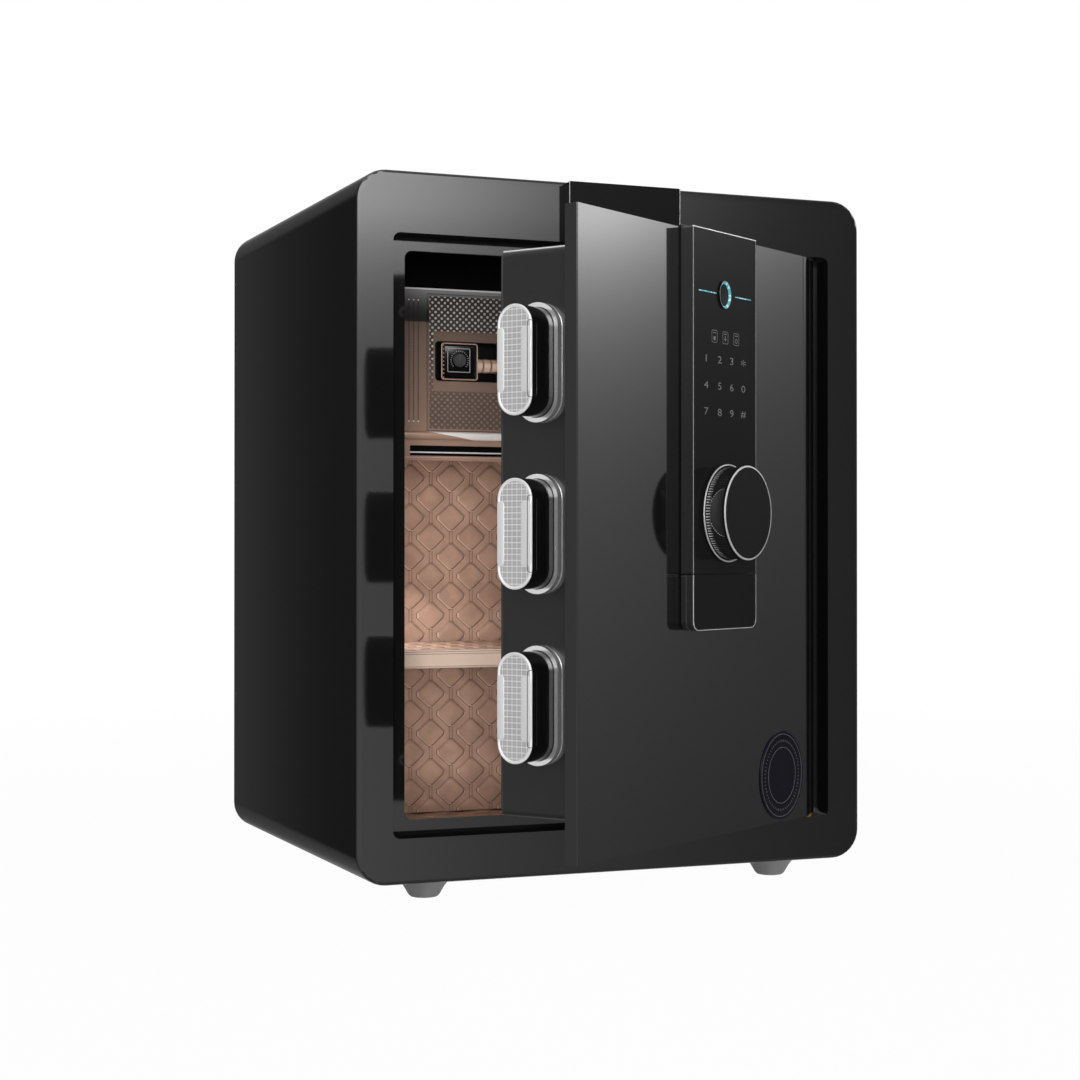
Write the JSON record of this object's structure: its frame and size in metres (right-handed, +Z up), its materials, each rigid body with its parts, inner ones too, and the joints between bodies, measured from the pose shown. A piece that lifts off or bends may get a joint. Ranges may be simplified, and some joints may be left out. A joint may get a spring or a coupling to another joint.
{
  "type": "home safe",
  "caption": "Home safe with an open hinged door, fingerprint and keypad panel, turning knob, thrown bolts, padded shelf and an inner locking drawer.",
  "frame": {"origin": "centre of the footprint of the safe with its door ajar as stored, on the plane that the feet stand on", "axes": "+Z up; -Y is the way the front of the body faces; +X is to the right for someone facing the front"},
  "size_m": [0.36, 0.4736, 0.4626],
  "materials": {
    "black_paint": "gloss black powder coat",
    "gloss_black": "gloss black",
    "bolt_steel": "gloss black steel with a bright end",
    "chrome": "polished",
    "steel": "brushed",
    "rose_gold": "satin rose gold",
    "quilt": "quilted rose gold leather cloth",
    "dark_plastic": "matt black",
    "board": "green circuit board",
    "cell": "printed sleeve",
    "red": "gloss red"
  },
  "bodies": {
    "cabinet": {"outer_shell": "black_paint", "rebate_frame": "black_paint", "back_plate": "black_paint", "lining_sleeve": "quilt", "lining_back": "quilt", "shelf": "quilt", "shelf_trim": "rose_gold", "shelf_bracket_left": "steel", "shelf_bracket_right": "steel", "locker_box": "steel", "locker_fascia": "rose_gold", "ledge_bar": "rose_gold", "badge_strip": "gloss_black", "foot_front_left": "chrome", "foot_front_right": "chrome", "foot_rear_left": "chrome", "foot_rear_right": "chrome", "hinge_pin_top": "steel", "hinge_pin_bottom": "steel"},
    "drawer": {"drawer_tray": "steel", "drawer_front": "rose_gold", "weave_panel": "rose_gold", "lock_case": "dark_plastic", "lock_block": "rose_gold", "wheel_axle": "steel"},
    "lock_dial": {"lock_turn": "steel"},
    "wheel_one": {"code_wheel_1": "rose_gold"},
    "wheel_two": {"code_wheel_2": "rose_gold"},
    "wheel_three": {"code_wheel_3": "rose_gold"},
    "door": {"door_plate": "black_paint", "door_box": "black_paint", "inner_cover": "dark_plastic", "hinge_bar": "black_paint", "panel_case": "gloss_black", "panel_glass": "gloss_black", "key_base": "gloss_black", "key_cylinder": "steel", "sensor_ring": "chrome", "knob_ring": "chrome", "bolt_collar_bottom": "chrome", "bolt_collar_middle": "chrome", "bolt_collar_top": "chrome", "circuit_board": "board", "battery_holder": "dark_plastic", "battery_1": "cell", "battery_2": "cell", "battery_3": "cell", "battery_4": "cell", "solenoid": "steel", "enroll_switch": "dark_plastic"},
    "knob": {"knob_grip": "gloss_black", "knob_cap": "gloss_black", "knob_shaft": "steel"},
    "bolts": {"bolt_carriage": "steel", "bolt_bottom": "bolt_steel", "bolt_middle": "bolt_steel", "bolt_top": "bolt_steel"},
    "key_flap": {"key_cover": "gloss_black"},
    "reset_button": {"enroll_button": "red"},
    "blocking_pin": {"solenoid_plunger": "steel"}
  },
  "joints": [
    {"name": "door_swing", "type": "hinge", "parent": "cabinet", "child": "door", "pos_m": [0.1463, -0.06713, 0.2326], "axis": [0, 0, 1], "range_deg": [-22.5, 57.3]},
    {"name": "knob_turn", "type": "hinge", "parent": "door", "child": "knob", "pos_m": [0.02901, -0.15561, 0.2463], "axis": [-0.5402, 0.8415, 0], "range_deg": [0, 90]},
    {"name": "bolt_throw", "type": "slide", "parent": "door", "child": "bolts", "axis": [0.8415, 0.5402, 0], "range_m": [0, 0.02827]},
    {"name": "key_cover_slide", "type": "slide", "parent": "door", "child": "key_flap", "axis": [0, 0, -1], "range_m": [0, 0.03]},
    {"name": "drawer_slide", "type": "slide", "parent": "cabinet", "child": "drawer", "axis": [0, -1, 0], "range_m": [0, 0.06]},
    {"name": "lock_dial_turn", "type": "hinge", "parent": "drawer", "child": "lock_dial", "pos_m": [-0.0609, 0.06077, 0.35755], "axis": [0, 1, 0], "range_deg": [0, 90]},
    {"name": "wheel_one_turn", "type": "hinge", "parent": "drawer", "child": "wheel_one", "pos_m": [-0.04455, 0.06847, 0.35465], "axis": [1, 0, 0], "continuous": true},
    {"name": "wheel_two_turn", "type": "hinge", "parent": "drawer", "child": "wheel_two", "pos_m": [-0.03855, 0.06847, 0.35465], "axis": [1, 0, 0], "continuous": true},
    {"name": "wheel_three_turn", "type": "hinge", "parent": "drawer", "child": "wheel_three", "pos_m": [-0.03255, 0.06847, 0.35465], "axis": [1, 0, 0], "continuous": true},
    {"name": "reset_press", "type": "slide", "parent": "door", "child": "reset_button", "axis": [0.5402, -0.8415, 0], "range_m": [0, 0.002], "stiffness_N_per_m": 250, "springref_m": -0.001},
    {"name": "blocking_pin_lift", "type": "slide", "parent": "door", "child": "blocking_pin", "axis": [0, 0, 1], "range_m": [0, 0.006], "stiffness_N_per_m": 120, "springref_m": -0.002}
  ],
  "couplings": [
    {"joint": "knob_turn", "follows": "bolt_throw", "rad_per_m": 55.556}
  ]
}
